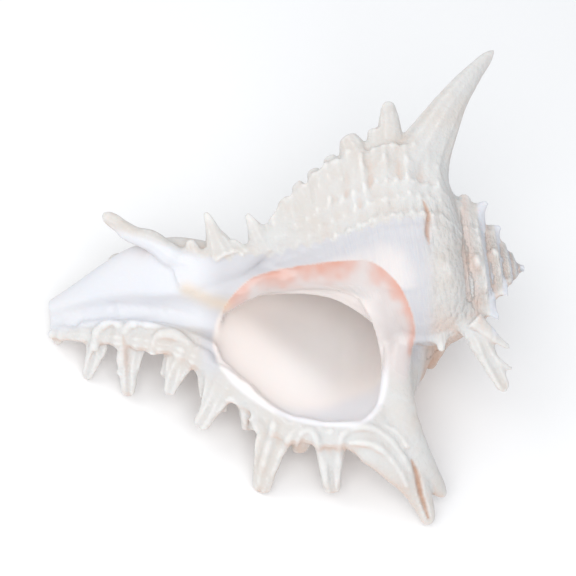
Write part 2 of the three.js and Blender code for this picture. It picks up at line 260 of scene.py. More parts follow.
def spine(
    root, bend, tip, wide, end, face=FRONT, thick=0.7, gutter=0.34, ribs=0.05, sag=0.55, wobble=1.0, folds=False,
):
    """A bent, tapering spine with its gutter, and the folds of the lip that run up its sides."""
    root, bend, tip, face = (np.asarray(v, float) for v in (root, bend, tip, face))
    along = np.linspace(0, 1, SPINE_ROWS)[:, None]
    path = (1 - along) ** 2 * root + 2 * along * (1 - along) * bend + along**2 * tip
    length = np.linalg.norm(tip - root)
    wander = np.hstack([noise(path + 31 * k, 9.0)[:, None] for k in range(3)])
    path = path + 0.035 * wobble * length * wander * np.sin(np.pi * along)
    half = wide + (end - wide) * along**sag
    half = half * (1 + 0.12 * wobble * noise(path + 50, 4.0)[:, None])
    tapered = half * np.sqrt(np.clip(1 - np.clip((along - 0.92) / 0.085, 0, 1) ** 2, 0.04, 1))
    spines.append(along_path(path, tapered, tapered * thick, face, ribs=ribs))
    across, front = across_and_front(path, face)
    if folds:
        lower = slice(0, SPINE_ROWS * 2 // 3)
        for hand in (-1, 1):
            line = (path + hand * across * half * (0.95 - 0.3 * along))[lower]
            line = line + face * half[lower] * thick * (0.25 + 0.35 * along[lower])
            fat = half[lower] * (0.3 - 0.12 * along[lower])
            spines.append(along_path(line, fat, fat, face, around=14))
    if gutter:
        outer = along[:, 0] > 0.42
        slim = np.clip((along - 0.4) / 0.3, 0.05, 1)
        open_way = (path + front * half * thick * 1.05)[outer]
        gutter_wide, gutter_deep = (half * gutter * slim)[outer], (half * thick * 0.6 * slim)[outer]
        gutters.append(along_path(open_way, gutter_wide, gutter_deep, face, 14))


def place(height, side, front):
    """A place given by its height down the axis, and how far to the side and the front of it."""
    return (APEX - height, side, front)


# the living lip's row, from the shoulder down to the canal: root, bend, tip, half width, its end, thickness, gutter
for root, bend, tip, wide, end, thick, gutter in (
    ((86, -63, 18), (86.5, -76, 19), (86.2, -90, 11), 9, 3.4, 0.6, 0.3),
    ((98, -61, 18), (99, -68, 15), (99, -72, 9), 8, 2.6, 0.6, 0.0),
    ((108, -58, 17), (112, -74, 19), (116.5, -88, 11), 10, 3.8, 0.6, 0.28),
    ((118, -44, 15), (120, -54, 16), (120, -62, 10), 8, 2.8, 0.7, 0.3),
    ((127, -39, 13), (133, -48, 16), (141, -60, 11), 10, 3.4, 0.65, 0.3),
    ((131, -38, 13), (130, -46, 14), (130.5, -54, 10), 5, 2.0, 0.7, 0.0),
    ((137, -32, 11), (137, -40, 12), (138, -48, 8), 6, 2.0, 0.7, 0.0),
    ((143, -27, 9), (149, -34, 10), (153, -46, 5), 9, 2.6, 0.6, 0.3),
    ((146, -24, 7), (152, -30, 8), (155, -38, 5), 6, 1.6, 0.7, 0.0),
    ((167, -13, 1), (168, -29, 6), (170.5, -46, -4), 10, 2.8, 0.6, 0.25),
    ((181, -13, -4), (182, -25, 1), (188.5, -38, -8), 9, 2.2, 0.6, 0.3),
    ((196, -14, -9), (198, -18, -9), (201, -22, -13), 6, 1.8, 0.7, 0.0),
):
    spine(place(*root), place(*bend), place(*tip), wide, end, FRONT, thick, gutter, folds=True)
# the great shoulder horn, then the older lip's row on the far side of the mouth
spine(place(48, 34, 14), place(38, 64, 23), place(10, 91.5, 12), 18, 2.2, BACK, 0.72, 0.3, 0.05, sag=0.75, wobble=0.2)
for root, bend, tip, wide, end in (
    ((56, 44, 20), (56, 60, 23), (55, 72, 20), 8, 2.4),
    ((60, 44, 20), (61, 54, 22), (61, 61, 21), 7, 3.4),
    ((68, 42, 20), (71, 53, 22), (73.5, 58.5, 21), 8, 4.0),
    ((76, 38, 19), (79, 46, 21), (81.5, 50.5, 20), 6.5, 2.8),
    ((83, 34, 17), (86, 41, 19), (88.5, 45.5, 18), 6, 2.6),
    ((90, 30, 14), (93, 36, 17), (95.5, 40, 16), 6, 2.6),
    ((96, 24, 12), (99, 30, 15), (101, 34, 14), 6, 2.6),
    ((110, 15, 7), (113, 21, 12), (116.5, 29, 13), 7, 1.0),
    ((127, 11, 9), (130, 20, 10), (134, 30.5, 12), 8, 1.0),
    ((120, 12, 10), (122, 15, 11), (124, 18, 11), 5, 1.6),
    ((138, 10, 8), (140, 14, 9), (141, 19, 9), 5, 1.6),
):
    spine(place(*root), place(*bend), place(*tip), wide, end, BACK, 0.72, 0.3, 0.07, sag=0.85)
# the spines beside the spire
for root, bend, tip, wide, end, gutter in (
    ((32, -8, 12), (24, -28, 22), (12, -51, 14), 9, 3.0, 0.4),
    ((24, -20, 20), (16, -29, 20), (9.6, -33, 15), 4.5, 1.2, 0.0),
    ((18, -36, 18), (13, -40, 17), (9, -42, 14), 3, 1.0, 0.0),
    ((40, -20, 14), (38, -28, 18), (38, -33, 17), 4, 1.6, 0.0),
    ((40, -24, -8), (41, -36, -16), (41.5, -41, -19), 13, 1.6, 0.0),
    ((24, -16, -4), (21, -26, -10), (20.5, -33.6, -14), 8, 1.4, 0.0),
):
    spine(place(*root), place(*bend), place(*tip), wide, end, FRONT, 0.6, gutter)

# a whole row, at the size of the newest whorl: height, radius, length, half width, end, lean towards the apex
LIP_ROW = [
    (47, 50, 44, 10, 2.4, 14), (62, 62, 16, 7, 2.8, 3), (76, 62, 20, 7, 2.8, 0), (92, 60, 14, 6.5, 2.6, -3),
    (106, 54, 20, 7.5, 2.8, -6), (120, 46, 14, 6.5, 2.6, -6), (134, 34, 16, 7, 2.6, -8),
]


def lip_row(behind, row, lengthen=1.0, widen=1.0):
    """A row of spines on the old lip that stands this many degrees behind the newest one."""
    size = float(scale_at(behind))
    turn = LIP_TURN - behind
    face = from_axis(APEX, 1, turn + 90)
    for height, radius, length, wide, end, lean in row:
        length = length * lengthen
        root = from_axis(height * size, (radius - 8) * size, turn - 3)
        bend = from_axis((height - 0.4 * lean) * size, (radius + 0.5 * length) * size, turn)
        tip = from_axis((height - lean) * size, (radius + length) * size, turn - 5)
        spine(root, bend, tip, wide * size * widen, end * size, face, 0.7, 0.3)


lip_row(113, LIP_ROW)
# the lips older than that show only the stub at their shoulder
for behind, lengthen in ((463, 0.36), (576, 0.34), (700, 0.32), (813, 0.3), (926, 0.28), (1050, 0.28)):
    lip_row(behind, LIP_ROW[:1], lengthen, 1.5)

# ---- The canal ----
# The long half-open tube at the front end, which held the animal's siphon, and the blunt ends of the ones before it.
# Its lower edge is a thick frilled lip, and its upper edge a broad flat wing.

CANAL = [  # height, side, front, half width, half depth
    (94, 0, -1, 3, 2), (109, 0, 1.5, 10.5, 7.4), (126, 0, 2, 16, 9), (146, 0.5, 1, 20, 8),
    (158, 0.5, 0, 18.5, 7.2), (168, 0, -2, 16.5, 6.5),
    (180, -2.5, -5, 12.5, 5.6), (191, -6.5, -8.5, 9.6, 4.8), (203, -10.5, -13, 6.6, 3.4),
]
TROUGH = [  # the same, for the groove that is cut along it
    (114, -20, 17, 12, 9), (130, -16, 12.5, 9, 7), (144, -12, 9.5, 6.5, 5.2), (156, -10, 7.6, 4.6, 4.6),
    (170, -8.4, 4.6, 4.2, 4.2), (188, -9.4, -2.2, 3.0, 3.6), (206, -12.4, -10, 2.6, 3),
]
FRILLED_EDGE = [
    (203, -17.5, -10.5), (190, -18.5, -3), (176, -20, 3), (162, -22, 7.5), (150, -25, 10.5), (141, -29.5, 12),
    (132, -34.5, 12.5),
]
FRILLED_SIZE = [2.2, 3.0, 3.4, 5.2, 5.8, 4.4, 4.0]
SHELF = [(176, -12, 0), (164, -14, 3), (152, -16, 6), (140, -21, 8), (130, -27, 10)]
EDGE_FOLDS = [  # the frills that cross the lower edge: places, half width
    ([(186, -31, -4), (183.5, -24, 1), (181.5, -17.5, 4), (176, -14, 5.5), (171.5, -16.5, 6), (170.5, -25, 4)], 1.9),
    ([(172.5, -36, 0), (171.5, -26, 5), (169.5, -18, 7.5), (165, -15, 9), (158, -16.5, 10), (150, -19.5, 12)], 2.1),
    ([(159, -28, 9), (156, -21, 12.5), (149, -20.5, 13.5), (142.5, -26, 13), (141, -31, 11)], 2.2),
    ([(152, -38, 8), (147, -30, 12), (140.5, -27.5, 13.5), (135, -31, 14), (133.5, -36, 13)], 1.9),
    ([(138, -52, 12), (133, -44, 15), (128, -38, 16), (123, -39.5, 16.5), (121, -46, 16)], 2.0),
]
FLAP = [(147, 3, 8), (140, 5, 9), (130, 7.5, 10), (121, 9.5, 10.5), (114, 12, 9.5), (108, 15, 7.5)]
FLAP_SIZE = [6.5, 8.5, 8, 6.5, 4.5, 2.5]
PILLAR = [  # height and radius of the post that the whorls wind round
    (0.6, 0.5), (1.6, 1.6), (12, 3), (60, 5), (92, 5), (110, 5.6), (122, 10), (140, 8), (150, 1),
]


def tube(stations, rows, around=40):
    """A closed tube down the axis through stations of height, side, front, half width and half depth."""
    at = curve_through(stations, rows)
    angle = np.linspace(0, 2 * np.pi, around, endpoint=False)[None, :]
    side = at[:, 1:2] + at[:, 3:4] * np.cos(angle)
    front = at[:, 2:3] + at[:, 4:5] * np.sin(angle)
    return swept(np.stack(np.broadcast_arrays(APEX - at[:, 0:1], side, front), -1))


def shell_path(places, rows):
    """A smooth path through places whose first number is a height."""
    path = curve_through(places, rows)
    path[:, 0] = APEX - path[:, 0]
    return path


canal = tube(CANAL, 60)
trough = tube(TROUGH, 50, 24)
path = shell_path(FRILLED_EDGE, 110)
fat = curve_through(np.array(FRILLED_SIZE)[:, None], 110)
fat = fat * (1 + 0.45 * noise(path, 3.6)[:, None])
spines.append(along_path(path, fat, fat * 0.8, FRONT, ribs=0.06))
spines.append(along_path(shell_path(SHELF, 60), np.full(60, 5.5), np.full(60, 4.5), FRONT))
for places, half in EDGE_FOLDS:
    path = shell_path(places, 50)
    fat = half * (1 + 0.3 * noise(path, 3.0)[:, None])
    spines.append(along_path(path, fat, fat, FRONT, 16))
path = shell_path(FLAP, 60)
high = curve_through(np.array(FLAP_SIZE)[:, None], 60) * (1 + 0.1 * noise(path, 4.0)[:, None])
spines.append(along_path(path, high, np.full(60, 3.0), (0, 0, 1)))
# the blunt ends of two older canals
spine(place(132, 5, 6), place(157, 16, 9), place(177, 31.5, 5), 7, 3.0, BACK, 0.9, 0.4, 0.03, sag=0.8)
spine(place(140, 4, -6), place(158, 8, -18), place(178, 10, -30), 10, 5.4, (0, 0, 1), 0.7, 0.4, sag=0.8)
pillar = tube([(h, 0, 0, r, r) for h, r in PILLAR], 60, 24)

# ---- The skin ----
# Everything above is one grown piece, so the bodies are blended into a single closed surface, and the chamber and
# the canal's trough are opened in it. The surface comes from a fine grid of distances to each body.

CELL = 0.9  # millimetres to a cell of the grid
REACH = 5  # distances are kept up to this far from a body
GRID_LOW = np.array([-108.0, -112.0, -90.0])
GRID_HIGH = np.array([106.0, 98.0, 48.0])
cells = tuple(np.ceil((GRID_HIGH - GRID_LOW) / CELL).astype(int))


def joined(bodies):
    """The points and triangles of several bodies, as those of one."""
    points, faces, start = [], [], 0
    for body_points, body_faces in bodies:
        points.append(body_points)
        faces.append(body_faces + start)
        start += len(body_points)
    return np.vstack(points), np.vstack(faces)


def distances(bodies):
    """How far each grid cell is from the bodies' surface, in millimetres, negative inside."""
    points, faces = joined(bodies)
    points = ((points - GRID_LOW) / CELL).astype(np.float32)
    band = int(math.ceil(REACH / CELL))
    level = openvdb.FloatGrid.createLevelSetFromPolygons(points, triangles=faces.astype(np.uint32), halfWidth=band)
    grid = np.empty(cells, np.float32)
    level.copyToArray(grid, ijk=(0, 0, 0))
    return grid * CELL


def blend(a, b, soft):
    """Two bodies grown together, with a fillet about this wide between them."""
    near = np.clip(soft - np.abs(a - b), 0, None) / soft
    return np.minimum(a, b) - near**2 * soft / 4


def carve(a, b, soft):
    """The first body with the second cut out of it, its new edges rounded."""
    return -blend(-a, b, soft)


walls = blend(distances([coil, pillar]), distances(spines + [canal]), 2.8)

# the thick rolled rim of the living lip, folded where each spine leaves it, and the corner that closes it behind
RIM = [
    (140, -30, 11), (132, -37, 14), (122, -44.5, 17), (113, -53.5, 20), (104.6, -61, 22), (96, -63.5, 22.5),
    (87, -66, 23), (78, -64.5, 22.5), (69, -64, 22.5), (60, -66.5, 22.5), (54.5, -74, 21.5), (51.5, -81, 18.5),
]
RIM_HALF = [3.5, 3.8, 4, 4.2, 4.4, 4.4, 4.4, 4.0, 3.2, 2.4, 1.8, 1.2]
CORNER = [
    (54, -26, 12), (56, -36, 15.5), (57.5, -46, 18.5), (57, -57, 20.5), (53.5, -69, 20), (48, -80, 15.5),
    (42.5, -89.5, 9), (39.5, -93.5, 5.5),
]
CORNER_HALF = [4, 4.8, 6, 7, 6.8, 5.4, 3.8, 1.6]
LAST_SPINE = [
    (71, -60, 20), (65, -68, 20.5), (58, -78, 19.5), (52.5, -87, 16.5), (48.8, -96, 12.5), (46.8, -103, 9.8),
    (46, -105, 9),
]
LAST_HALF = [14, 12.6, 9.6, 6.8, 4.6, 3.2, 1.2]
path = shell_path(RIM, 140)
fold = noise(path, 5.0)[:, None]
path[:, 1] += 0.9 * noise(path + 90, 5.5)
half = curve_through(np.array(RIM_HALF)[:, None], 140) * (1 + 0.22 * fold)
rim = [along_path(path, half, half * 0.8, FRONT, 30, ribs=0.05)]
for places, halves, thick in ((CORNER, CORNER_HALF, 0.55), (LAST_SPINE, LAST_HALF, 0.42)):
    path = shell_path(places, 70)
    half = curve_through(np.array(halves)[:, None], 70) * (1 + 0.05 * noise(path, 5.0)[:, None])
    rim.append(along_path(path, half, half * thick + 0.8, FRONT, 40))
# a thin bead along the rim, on the mouth's side of it
BEAD_IN, BEAD_HALF = 2.6, 1.25
path = shell_path([(h, side + BEAD_IN, front + BEAD_IN) for h, side, front in RIM[:-1]], 160)
path[:, 1] += 0.9 * noise(path, 4.0)
half = BEAD_HALF * (1 + 0.45 * noise(path + 40, 3.0)[:, None])
rim.append(along_path(path, half, half, FRONT, 14))
DRAPES = [  # soft folds of the lip that run out along its spines: places, half width
    ([(116.0, -87.7), (115.1, -78.6), (112.5, -69.9), (110.1, -63.0), (108.8, -57.0)], 1.9),
    ([(111.6, -81.4), (108.6, -73.6), (104.9, -67.7), (101.6, -63.0), (97.4, -61.0)], 1.6),
    ([(100.6, -69.2), (99.4, -64.9), (96.1, -62.4), (92.9, -64.3), (91.0, -70.1), (89.7, -78.1), (89.0, -86.9)], 1.7),
    ([(84.6, -87.1), (83.6, -78.4), (83.1, -70.5), (81.1, -64.9), (75.8, -62.3), (68.8, -63.0), (62.0, -68.0),
      (57.1, -75.3), (53.8, -82.5)], 1.9),
    ([(79.1, -68.2), (73.4, -68.5), (67.8, -70.2), (62.8, -74.6), (58.3, -81.4), (55.3, -88.5)], 1.6),
    ([(121.2, -59.4), (121.4, -54.2), (123.2, -50.3), (126.3, -48.2), (129.0, -49.0)], 1.6),
]
SLITS = [  # the narrow openings in the last spine and at the shoulder
    ([(53.2, -77), (51.2, -83), (50.0, -91), (46.8, -103)], 1.15),
    ([(43.4, 30), (41.6, 24), (42.6, 17), (42.0, 12)], 0.75),
]

# the glaze along the pillar and over the whorl before: a smooth raised band round the inner side of the mouth
GLAZE_PATH = [
    (128.5, -12.6), (120, -4.5), (110, -0.5), (95.4, 0.5), (85, 0.5), (76.5, -0.5), (67, -5), (60.6, -13.5),
    (57.6, -23.5), (57.4, -31), (58.6, -38), (61.5, -46),
]
GLAZE_HALF = [2.6, 4.2, 5, 5, 5.6, 6.4, 7.4, 8, 7.6, 6.6, 5.0, 3.0]


def laid_on(grid, places, rows, above, smoothings=0):
    """A path laid along the front of the grid's surface."""
    path = shell_path([(h, y, 0) for h, y in places], rows)
    column = ((path[:, :2] - GRID_LOW[:2]) / CELL).round().astype(int)
    filled = grid[column[:, 0], column[:, 1], :] < 0
    rise = GRID_LOW[2] + (filled.shape[1] - 1 - np.argmax(filled[:, ::-1], axis=1)) * CELL
    met = np.flatnonzero(filled.any(axis=1))
    rise = np.interp(np.arange(rows), met, rise[met])
    for _ in range(smoothings):
        rise[1:-1] = (rise[:-2] + rise[1:-1] * 2 + rise[2:]) / 4
    path[:, 2] = rise + above
    return path


path = laid_on(walls, GLAZE_PATH, 80, -1.2, 12)
half = curve_through(np.array(GLAZE_HALF)[:, None], 80)[:, 0]
glaze = along_path(path, half, 1.6 + half * 0.16, (0, -0.35, 0.94), around=30)

hollow = distances([chamber])
grooved = carve(walls, distances(gutters), 0.9)
lining = distances([behind_the_lip]) - 1.8
solid = carve(blend(grooved, lining, 2.0), hollow, 2.0)
solid = blend(solid, distances(rim), 3.6)
solid = blend(solid, distances([glaze]), 1.2)
solid = carve(solid, distances([trough]), 4.0)
drapes = []
for places, half in DRAPES:
    path = laid_on(solid, places, 60, 0.3, 6)
    taper = np.clip(1 - np.linspace(-1, 1, 60) ** 6, 0.03, 1) ** 0.5
    half = half * taper * (1 + 0.2 * noise(path, 4.0))
    drapes.append(along_path(path, half, half * 0.95, FRONT, 16))
solid = blend(solid, distances(drapes), 1.3)
cuts = []
for places, half in SLITS:
    path = laid_on(solid, places, 40, 0.3)
    deep = half * np.sqrt(np.clip(1 - np.linspace(-1, 1, 40) ** 2, 0.02, 1))
    cuts.append(along_path(path, deep, deep * 1.3, FRONT, 14))
solid = carve(solid, distances(cuts), 0.7)

# ---- At rest ----
# The shell lies with its mouth up, on the tips of its lowest spines. Those tips are worn to small flats, so here the
# grid is cut at the floor before the skin is drawn over it, and the skin is then turned from its own frame to rest.

UP = np.array([0.183, 0.5644, 0.805])
UP = UP / np.linalg.norm(UP)
REAR = np.array([0, 0, -1.0]) + UP[2] * UP  # the way that the shell's back looks, brought level
REAR = REAR / np.linalg.norm(REAR)
TURN = np.array([np.cross(REAR, UP), REAR, UP])
ORIGIN = np.array([-1.797, -4.074, 44.966])

index = np.indices(cells, dtype=np.float32)
above_floor = sum(UP[k] * (GRID_LOW[k] + CELL * index[k]) for k in range(3)) + ORIGIN[2]
solid = np.maximum(solid, -above_floor)

field = openvdb.FloatGrid(background=float(REACH))
field.copyFromArray(np.ascontiguousarray(solid.astype(np.float32)))
points, quads = field.convertToQuads(isovalue=0.0)
points = points.astype(float) * CELL + GRID_LOW

mesh = bpy.data.meshes.new("shell skin")
mesh.from_pydata(points.tolist(), [], quads.tolist())
mesh.validate()
whole = bpy.data.objects.new("shell", mesh)
bpy.context.scene.collection.objects.link(whole)
bpy.ops.object.select_all(action="DESELECT")
bpy.context.view_layer.objects.active = whole
whole.select_set(True)
bpy.ops.object.mode_set(mode="EDIT")
bpy.ops.mesh.separate(type="LOOSE")
bpy.ops.object.mode_set(mode="OBJECT")
pieces = [ob for ob in bpy.context.selected_objects if ob.type == "MESH"]
shell = max(pieces, key=lambda ob: len(ob.data.polygons))
for ob in pieces:
    if ob is not shell:
        bpy.data.objects.remove(ob)
shell.name = "murex_shell"
mesh = shell.data

points = np.empty(len(mesh.vertices) * 3)
mesh.vertices.foreach_get("co", points)
points = points.reshape(-1, 3)
own = points.copy()
mesh.vertices.foreach_set("co", ((own @ TURN.T + ORIGIN) / 1000).ravel())
mesh.update()
mesh.shade_smooth()

# ---- The colours ----
# The outside is chalky white, the mouth is smooth and cream, and a band of coral pink lies on the glaze round it.
# Where each colour lies is worked out from the shape and kept on the skin, and the finish below reads it.


def around(grid, reach):
    """The grid averaged over a box of this many cells each way."""
    for axis in range(3):
        total = np.zeros_like(grid)
        for step in range(-reach, reach + 1):
            total += np.roll(grid, step, axis)
        grid = total / (2 * reach + 1)
    return grid


def read_grid(grid, places):
    """The grid's value at each place, shared out between the eight cells round it."""
    at = np.clip((places - GRID_LOW) / CELL, 0, np.array(grid.shape) - 2)
    cell = at.astype(int)
    u = at - cell
    total = 0
    for corner_at in np.ndindex(2, 2, 2):
        i, j, k = (cell[:, n] + corner_at[n] for n in range(3))
        share = np.prod([u[:, n] if corner_at[n] else 1 - u[:, n] for n in range(3)], axis=0)
        total = total + share * grid[i, j, k]
    return total


def soft_step(low, high, value):
    """Nought below low, one above high, and a smooth rise between them."""
    u = np.clip((value - low) / (high - low), 0, 1)
    return u * u * (3 - 2 * u)


def distance_to_line(flat, line):
    """How far each point is from a line of points, and where along the line, from 0 to 1, it is nearest."""
    best = np.full(len(flat), 1e9)
    where = np.zeros(len(flat))
    for n in range(len(line) - 1):
        a, b = line[n], line[n + 1]
        u = np.clip(((flat - a) @ (b - a)) / ((b - a) @ (b - a)), 0, 1)
        gap = np.linalg.norm(flat - a - u[:, None] * (b - a), axis=1)
        nearer = gap < best
        best = np.where(nearer, gap, best)
        where = np.where(nearer, (n + u) / (len(line) - 1), where)
    return best, where


down, side, front = APEX - own[:, 0], own[:, 1], own[:, 2]
flat = np.column_stack([down, side])
normals = np.empty(len(mesh.vertices) * 3)
mesh.vertices.foreach_get("normal", normals)
normals = normals.reshape(-1, 3) @ TURN
looks_front = soft_step(-0.1, 0.35, normals[:, 2])
facing_mouth = looks_front * soft_step(-2, 6, front)

inside = 1 - soft_step(0.4 + 0.8 * facing_mouth, 1.2 + 2.0 * facing_mouth, read_grid(np.maximum(hollow, -5), own))
broad = read_grid(around(solid.astype(np.float32), 4), own)
fine = read_grid(around(solid.astype(np.float32), 1), own)
# painted shade: where the surface is hollow, the chalk is darkened towards brown
pit = soft_step(0.05, 1.0, -broad)
# painted highlight: raised edges and ridges are lightened towards white
edge = soft_step(0.02, 0.22, fine)

# the glaze ends at this line round the inner side of the mouth, and the coral band lies just within it
GLAZE_EDGE = curve_through([
    (129, -14), (126.5, -8.5), (117, 0.5), (107.9, 3.6), (95.2, 5.4), (82, 6.4), (74, 6.6), (65, 5), (55.7, -4),
    (50.8, -15), (49.2, -24), (50.5, -33),
], 70)
MOUTH_CENTRE = np.array([90, -28])
gap, where = distance_to_line(flat, GLAZE_EDGE)
from_centre, edge_from_centre = (flat - MOUTH_CENTRE).T, (GLAZE_EDGE - MOUTH_CENTRE).T
edge_bearing, edge_far = np.arctan2(*edge_from_centre), np.hypot(*edge_from_centre)
order = np.argsort(edge_bearing)
outside = np.hypot(*from_centre) > np.interp(np.arctan2(*from_centre), edge_bearing[order], edge_far[order])
reach = np.interp(where, [0, 0.12, 0.3, 0.55, 0.7, 0.85, 1], [2, 5, 8, 9, 11, 12, 9])
pink_reach = np.interp(where, [0, 0.12, 0.3, 0.55, 0.75, 1], [2, 5, 8, 8, 6, 3])
spots = np.column_stack([flat, front])
wisps = noise(spots, 3.2) * 0.8 + noise(spots, 8.0)
glaze_here = np.where(outside, 1 - soft_step(0, 0.8, gap), 1 - soft_step(0.8, 1.9, gap / reach)) * facing_mouth
# painted highlight: at two places the coral is lifted off the band, leaving it pale where it catches the light
painted_highlight_gap = hump(where - 0.60, 0.045) + 0.75 * hump(where - 0.86, 0.07) * soft_step(2, 4, gap)
pink = hump(gap, pink_reach * (0.75 + 0.3 * wisps)) * glaze_here
pink = pink * (1 - 0.9 * np.clip(painted_highlight_gap, 0, 1)) * soft_step(0.0, 0.1, where) * (0.82 + 0.25 * wisps)
pink = np.clip(pink, 0, 1)

# which turn of the coil each point of the skin lies on, how far back along it, and how high on that whorl
turn_now = np.degrees(np.arctan2(side, front))
from_pillar = np.hypot(side, front)
best = np.full(len(own), 1e9)
cord_at, past_now = np.zeros(len(own)), np.zeros(len(own))
for turn_count in range(7):
    past = (LIP_TURN - turn_now) % 360 + 360 * turn_count
    size = scale_at(past)
    at = down / size
    miss = np.abs(from_pillar / size - np.interp(at, OUTER[:, 0], OUTER[:, 1]) - 4) + 3 * np.clip(36 - at, 0, None)
    nearer = miss < best
    best = np.where(nearer, miss, best)
    cord_at = np.where(nearer, at, cord_at)
    past_now = np.where(nearer, past, past_now)

# the glossy body lies between the newest lip and this scalloped line, and all the rest of the outside is rough
SCALLOPED = np.array([(125, 10), (108, 11), (95, 13.5), (80, 16.5), (70, 19), (58, 21.5), (46, 23), (38, 22)])
line_side = np.interp(down, SCALLOPED[::-1, 0], SCALLOPED[::-1, 1])
scallop = 0.9 * np.sin(down * 1.15) + 1.2 * noise(np.column_stack([flat, down * 0]), 5.0)
below_line = 1 - soft_step(-0.8, 0.8, side - line_side - scallop)
body = below_line * facing_mouth * soft_step(-44, -30, side) * outside
body = body * soft_step(38, 46, down) * (1 - soft_step(134, 142, down))
wing_top = 14 + 0.36 * (down - 142)
canal_face = looks_front * soft_step(-24, -16, front) * soft_step(126, 140, down)
canal_face = canal_face * (1 - soft_step(-2, 2, side - wing_top))
canal_face = canal_face * (1 - 0.95 * soft_step(-12.5, -16, side + 0.12 * np.abs(down - 175)))
rough_now = np.clip(1 - np.maximum.reduce([inside, glaze_here, 0.9 * body, 0.7 * canal_face]), 0, 1)

# rusty stain lies in the two slits, in the gutter of a spine beside the canal, and on the knob behind the last spine
CANAL_GUTTER = [(170.5, -20), (170, -30), (170.5, -44)]
STAINED_KNOB = [(48, -30), (43, -35), (41, -41)]
AMBER_FLECK = [(128, -9), (133, -7.5), (143, -2)]
stain = np.zeros(len(own))
for line, half_wide, strength in ((SLITS[0][0], 0.95, 0.95), (SLITS[1][0], 0.8, 0.8), (CANAL_GUTTER, 1.0, 0.4)):
    away, where = distance_to_line(flat, np.array(line))
    spread = half_wide * (0.35 + np.sin(np.pi * np.clip(where, 0, 1)))
    stain = np.maximum(stain, strength * hump(away, spread) * facing_mouth)
away, _ = distance_to_line(flat, np.array(STAINED_KNOB))
knob_stain = (1 - soft_step(4, 10, away)) * soft_step(-28, -32, side) * (1 - soft_step(-4, 4, front))
stain = np.maximum(stain, 0.55 * knob_stain)
away, _ = distance_to_line(flat, np.array(AMBER_FLECK))
amber = hump(away, 3.2) * facing_mouth

# the lip's inner face is whiter than the mouth, and the heart of the mouth is painted palest, a painted pool of light
# in its depth; the spire's ledges get a painted bluish shade and its foot a painted peach-brown shade
oval = ((down - 95) / 36) ** 2 + ((side + 28) / 30) ** 2
lip_white = soft_step(0.62, 1.0, oval) * soft_step(26, 44, -side) * soft_step(-6, 8, front)
# painted light: the heart of the mouth, deep in the chamber, is made paler as if lit
heart = hump(down - 86, 26) * hump(side + 34, 24)
spiral = (1 - soft_step(4, 9, best)) * (1 - soft_step(112, 124, cord_at))
# the spire's ramp and foot, which take painted shade below
spire = soft_step(330, 370, past_now) * (1 - soft_step(38, 44, down))
spire = spire * soft_step(-30, -24, side) * soft_step(-20, 0, front)
layers = {
    "spiral": spiral, "heart": heart, "lip": lip_white, "amber": amber,
    # painted shade on the spire: bluish on its ledges, peach-brown at its foot
    "ramp": spire * (1 - soft_step(41, 44, cord_at)), "base": spire * soft_step(48, 56, cord_at),
    "inside": inside, "glaze": glaze_here, "pink": pink, "rough": rough_now, "body": body, "canal": canal_face,
    # the hollows' layer holds painted shade and the edges' layer a painted highlight
    "pit": pit, "edge": edge, "stain": stain, "cord": cord_at / 100, "growth": past_now / 100,
    # painted shade: the sides that face down are tinted warm peach
    "underside": soft_step(0.1, 0.8, -normals[:, 1] - 0.3 * normals[:, 2]) * (1 - inside),
}
for name, values in layers.items():
    mesh.attributes.new(name, "FLOAT", "POINT").data.foreach_set("value", values.astype(np.float32))

# ---- The finish ----
# Old shell outside is chalky, with painted shade in its hollows and on the sides that face down, a painted highlight
# on its raised edges, and grain, scales and beads in its relief. The glaze and the mouth are polished like china, and
# the light sinks a little way into all of it.

CHALK, WARM_CHALK = (0.64, 0.63, 0.615), (0.62, 0.57, 0.525)
# painted shade for the hollows and for the sides that face down, and a painted highlight for the raised edges
PAINTED_HOLLOW_SHADE, PAINTED_UNDERSIDE_SHADE, PAINTED_EDGE_HIGHLIGHT = (0.60, 0.44, 0.36), (0.68, 0.46, 0.35), (0.80, 0.79, 0.77)
BODY_GREY, BODY_PALE = (0.54, 0.54, 0.585), (0.62, 0.605, 0.605)
CANAL_BLUE, CANAL_PALE = (0.68, 0.70, 0.76), (0.77, 0.77, 0.79)
# painted shade for the spire: bluish on its ledges, peach-brown at its foot
PAINTED_SPIRE_LEDGE_SHADE, PAINTED_SPIRE_FOOT_SHADE = (0.69, 0.715, 0.78), (0.74, 0.58, 0.51)
# the mouth's heart is painted light, near white
MOUTH_CREAM, PAINTED_HEART_LIGHT, LIP_WHITE = (0.83, 0.755, 0.715), (0.98, 0.945, 0.93), (0.80, 0.79, 0.81)
GLAZE, CORAL = (0.66, 0.605, 0.59), (0.67, 0.36, 0.285)
AMBER, RUST = (0.80, 0.62, 0.42), (0.50, 0.26, 0.15)


class Value:
    """A shader socket that takes part in sums."""

    def __init__(self, material, socket):
        self.material, self.socket = material, socket

    def maths(self, operation, other, swap=False):
        pair = (other, self) if swap else (self, other)
        return self.material.add("ShaderNodeMath", {"operation": operation}, {0: pair[0], 1: pair[1]})

    def __add__(self, other):
        return self.maths("ADD", other)

    def __radd__(self, other):
        return self.maths("ADD", other, True)

    def __sub__(self, other):
        return self.maths("SUBTRACT", other)

    def __rsub__(self, other):
        return self.maths("SUBTRACT", other, True)

    def __mul__(self, other):
        return self.maths("MULTIPLY", other)

    def __rmul__(self, other):
        return self.maths("MULTIPLY", other, True)


